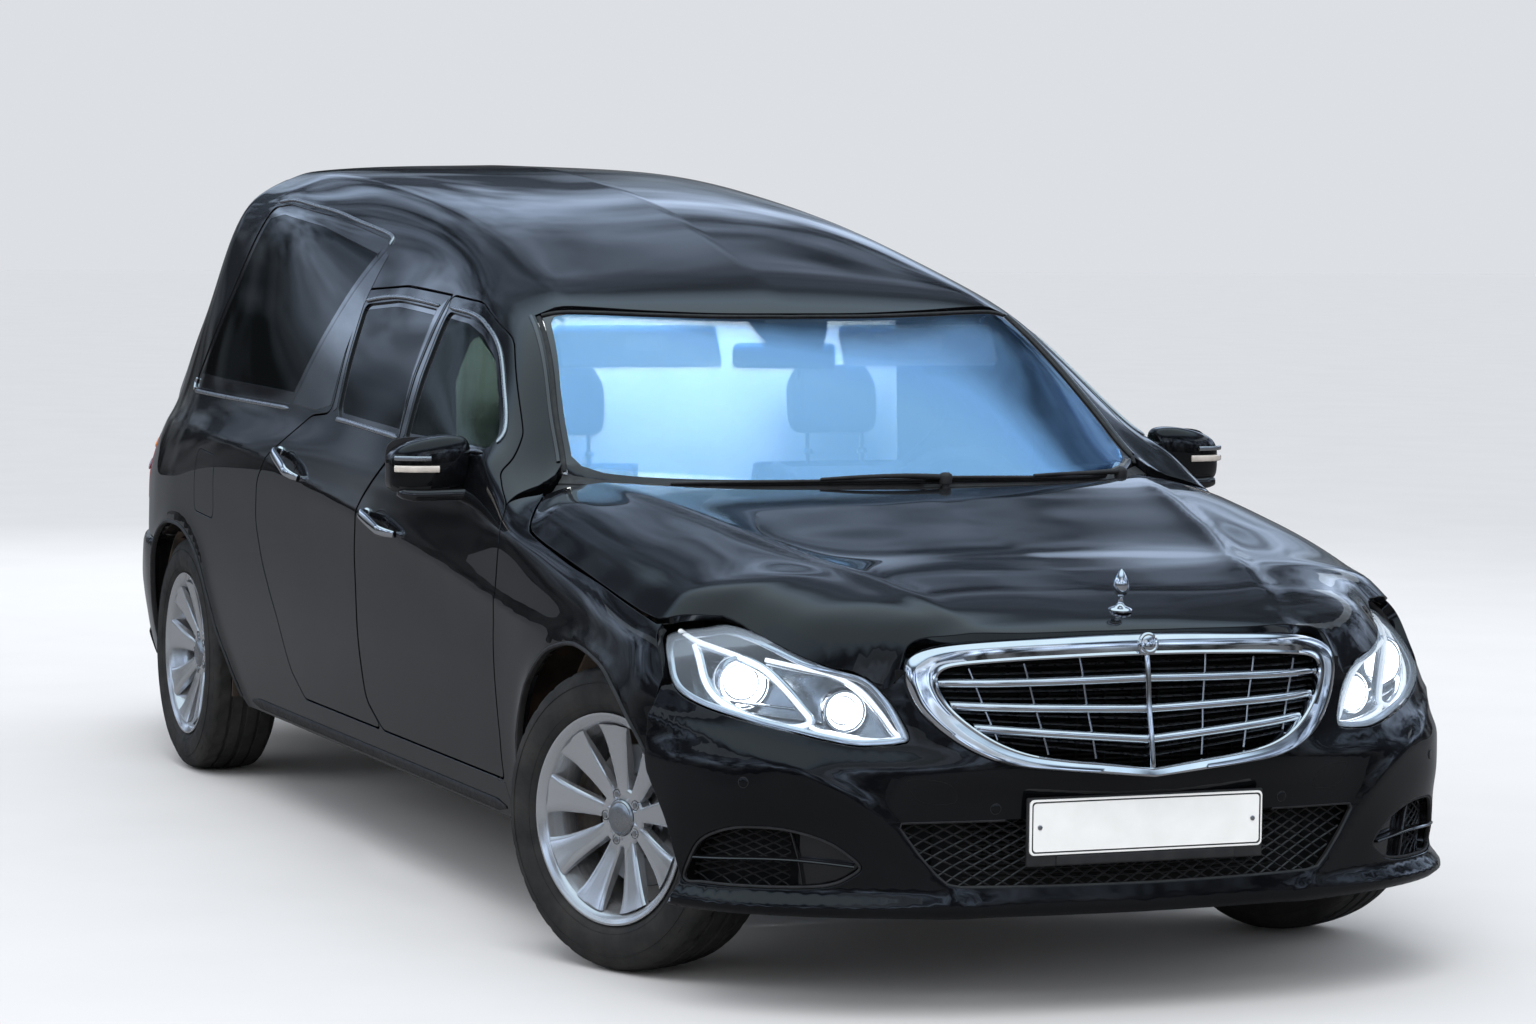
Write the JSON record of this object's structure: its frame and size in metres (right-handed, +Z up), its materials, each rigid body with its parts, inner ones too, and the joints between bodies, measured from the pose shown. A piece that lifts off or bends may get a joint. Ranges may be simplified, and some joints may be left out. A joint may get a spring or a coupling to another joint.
{
  "type": "hearse",
  "caption": "Long-wheelbase black hearse with opening doors, hood and tailgate, steered front wheels, side load windows and a coffin deck.",
  "frame": {"origin": "on the ground, under the middle of the car's outer box", "axes": "+Z up, the car's front looks towards -Y, the car's left side is +X"},
  "size_m": [2.104, 5.426, 1.702],
  "materials": {
    "paint": "gloss",
    "underbody": "matt",
    "trim_black": "matt",
    "chrome": "polished",
    "lamp_clear": "gloss",
    "lamp_red": "gloss",
    "glass_clear": "gloss",
    "glass_dark": "gloss",
    "iron": "matt",
    "dash_plastic": "matt",
    "seat_leather": "satin",
    "partition_trim": "matt",
    "deck_wood": "satin",
    "steel": "satin",
    "liner": "matt",
    "plate": "gloss",
    "tyre": "matt",
    "rim": "gloss"
  },
  "bodies": {
    "body": {"floor_pan": "underbody", "body_side_left": "paint", "body_side_right": "paint", "roof_panel": "paint", "bulkhead_cowl": "trim_black", "front_fenders": "paint", "front_bumper": "paint", "grille": "chrome", "headlamps": "lamp_clear", "rear_bumper": "paint", "tail_lamps": "lamp_red", "windscreen": "glass_clear", "rear_side_glass": "glass_dark", "engine_block": "iron", "propshaft": "iron", "dashboard": "dash_plastic", "front_seats": "seat_leather", "partition": "partition_trim", "casket_deck": "deck_wood", "exhaust": "steel", "fuel_tank": "underbody", "front_subframe": "iron", "rear_axle": "iron", "wheel_arch_liners": "liner", "wipers": "trim_black", "front_number_plate": "plate"},
    "hood": {"hood": "paint"},
    "tailgate": {"tailgate": "paint", "tailgate_glass": "glass_dark", "rear_number_plate": "plate"},
    "front_door_left": {"front_door_left": "paint", "front_glass_left": "glass_clear"},
    "front_door_right": {"front_door_right": "paint", "front_glass_right": "glass_clear"},
    "rear_door_left": {"rear_door_left": "paint", "rear_glass_left": "glass_dark"},
    "rear_door_right": {"rear_door_right": "paint", "rear_glass_right": "glass_dark"},
    "steering_wheel": {"steering_wheel": "dash_plastic"},
    "knuckle_left": {"knuckle_left": "iron"},
    "knuckle_right": {"knuckle_right": "iron"},
    "wheel_front_left": {"tyre_front_left": "tyre", "rim_front_left": "rim"},
    "wheel_front_right": {"tyre_front_right": "tyre", "rim_front_right": "rim"},
    "wheel_rear_left": {"tyre_rear_left": "tyre", "rim_rear_left": "rim"},
    "wheel_rear_right": {"tyre_rear_right": "tyre", "rim_rear_right": "rim"}
  },
  "joints": [
    {"name": "hood_hinge", "type": "hinge", "parent": "body", "child": "hood", "pos_m": [0, -1.224, 0.985], "axis": [-1, 0, 0], "range_deg": [0, 50]},
    {"name": "tailgate_hinge", "type": "hinge", "parent": "body", "child": "tailgate", "pos_m": [0, 1.669, 1.625], "axis": [1, 0, 0], "range_deg": [0, 78]},
    {"name": "front_door_left_hinge", "type": "hinge", "parent": "body", "child": "front_door_left", "pos_m": [0.9145, -1.264, 0.65], "axis": [0, 0, -1], "range_deg": [0, 68]},
    {"name": "front_door_right_hinge", "type": "hinge", "parent": "body", "child": "front_door_right", "pos_m": [-0.9145, -1.264, 0.65], "axis": [0, 0, 1], "range_deg": [0, 68]},
    {"name": "rear_door_left_hinge", "type": "hinge", "parent": "body", "child": "rear_door_left", "pos_m": [0.918, -0.37, 0.75], "axis": [0, 0, -1], "range_deg": [0, 66]},
    {"name": "rear_door_right_hinge", "type": "hinge", "parent": "body", "child": "rear_door_right", "pos_m": [-0.918, -0.37, 0.75], "axis": [0, 0, 1], "range_deg": [0, 66]},
    {"name": "steer_left", "type": "hinge", "parent": "body", "child": "knuckle_left", "pos_m": [0.72, -1.836, 0.326], "axis": [0, 0, 1], "range_deg": [-56, 10]},
    {"name": "steer_right", "type": "hinge", "parent": "body", "child": "knuckle_right", "pos_m": [-0.72, -1.836, 0.326], "axis": [0, 0, 1], "range_deg": [-56, 10]},
    {"name": "spin_front_left", "type": "hinge", "parent": "knuckle_left", "child": "wheel_front_left", "pos_m": [0.78516, -1.80422, 0.326], "axis": [0.8988, 0.4384, 0], "continuous": true},
    {"name": "spin_front_right", "type": "hinge", "parent": "knuckle_right", "child": "wheel_front_right", "pos_m": [-0.78674, -1.86433, 0.326], "axis": [0.9205, 0.3907, 0], "continuous": true},
    {"name": "spin_rear_left", "type": "hinge", "parent": "body", "child": "wheel_rear_left", "pos_m": [0.802, 1.538, 0.326], "axis": [1, 0, 0], "continuous": true},
    {"name": "spin_rear_right", "type": "hinge", "parent": "body", "child": "wheel_rear_right", "pos_m": [-0.802, 1.538, 0.326], "axis": [1, 0, 0], "continuous": true},
    {"name": "steering_wheel_turn", "type": "hinge", "parent": "body", "child": "steering_wheel", "pos_m": [0.37, -0.851, 0.862], "axis": [0, 0.9063, 0.4226], "range_deg": [-820, 160]}
  ],
  "couplings": [
    {"joint": "steer_right", "follows": "steer_left", "ratio": 1},
    {"joint": "steering_wheel_turn", "follows": "steer_left", "ratio": 14.6}
  ]
}
